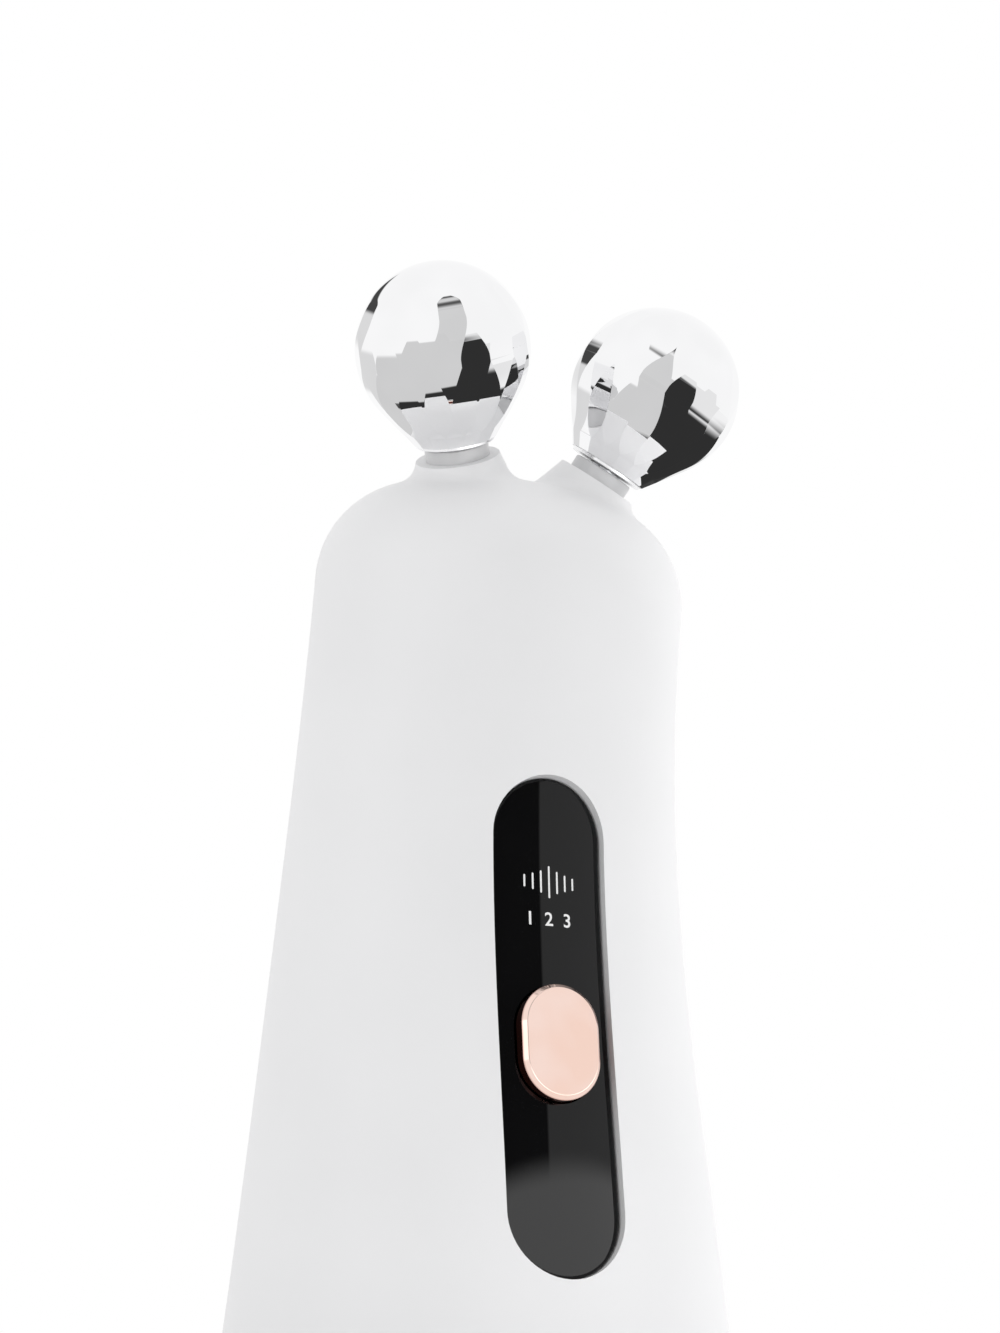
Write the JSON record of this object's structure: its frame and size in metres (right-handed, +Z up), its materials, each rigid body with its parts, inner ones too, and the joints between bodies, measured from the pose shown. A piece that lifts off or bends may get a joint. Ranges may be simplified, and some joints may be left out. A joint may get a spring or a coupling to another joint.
{
  "type": "facial toning roller device",
  "caption": "Palm-held facial toner: a leaning oval body with a glossy window and one key, and faceted chrome balls on splayed axles at its head.",
  "frame": {"origin": "centre of the foot pad's underside, where the device stands", "axes": "+Z up through the body, -Y towards the window and the rollers, +X to the right of someone behind the device, so the rollers lie side by side along X"},
  "size_m": [0.0624, 0.059, 0.1338],
  "materials": {
    "shell": "satin white",
    "shell_rear": "satin white",
    "cap": "satin white",
    "foot": "pale matt silicone",
    "collar": "pale grey satin",
    "ball": "polished plate",
    "ball_base": "polished plate",
    "window": "piano black",
    "gasket": "adhesive foam",
    "key": "polished rose gold",
    "plunger": "moulded black",
    "switch": "moulded black",
    "board": "green solder mask",
    "charge_board": "green solder mask",
    "components": "moulded epoxy",
    "coil": "sintered ferrite",
    "led": "clear resin over white",
    "light_guide": "milky diffuser",
    "cell": "foil pouch",
    "pad": "foam",
    "tray": "moulded",
    "socket": "stamped shell",
    "bracket": "glass-filled nylon",
    "screw": "zinc plated",
    "bush": "sintered bronze",
    "axle": "ground",
    "clip": "spring steel",
    "seal": "silicone",
    "contact": "plated",
    "nut": "zinc plated",
    "lead_insulation": "silicone sleeve"
  },
  "bodies": {
    "housing": {"front_housing": "shell", "rear_cover": "shell_rear", "base_cap": "cap", "foot_pad": "foot", "control_panel": "window", "panel_gasket": "gasket", "tact_switch": "switch", "main_board": "board", "board_screws": "screw", "indicator_leds": "led", "light_guide": "light_guide", "boost_coil": "coil", "board_components": "components", "battery_cell": "cell", "battery_pad": "pad", "battery_tray": "tray", "charge_board": "charge_board", "usb_socket": "socket", "cap_screws": "screw", "roller_bracket": "bracket", "bracket_screws": "screw", "battery_leads": "lead_insulation", "charge_leads": "lead_insulation", "left_neck_seal": "seal", "left_neck_collar": "collar", "left_axle": "axle", "left_axle_clip": "clip", "left_contact_ring": "contact", "left_axle_nut": "nut", "left_electrode_lead": "lead_insulation", "right_neck_seal": "seal", "right_neck_collar": "collar", "right_axle": "axle", "right_axle_clip": "clip", "right_contact_ring": "contact", "right_axle_nut": "nut", "right_electrode_lead": "lead_insulation"},
    "left_roller": {"left_roller_ball": "ball", "left_ball_base": "ball_base", "left_roller_bush": "bush"},
    "right_roller": {"right_roller_ball": "ball", "right_ball_base": "ball_base", "right_roller_bush": "bush"},
    "key": {"mode_button": "key", "switch_plunger": "plunger"}
  },
  "joints": [
    {"name": "left_roller_spin", "type": "hinge", "parent": "housing", "child": "left_roller", "pos_m": [-0.015, -0.0221, 0.1228], "axis": [-0.3681, -0.5091, 0.778], "continuous": true},
    {"name": "right_roller_spin", "type": "hinge", "parent": "housing", "child": "right_roller", "pos_m": [0.015, -0.0221, 0.1228], "axis": [0.3681, -0.5091, 0.778], "continuous": true},
    {"name": "button_press", "type": "slide", "parent": "housing", "child": "key", "axis": [0, 0.996, -0.0889], "range_m": [0, 0.00035], "stiffness_N_per_m": 4000}
  ]
}
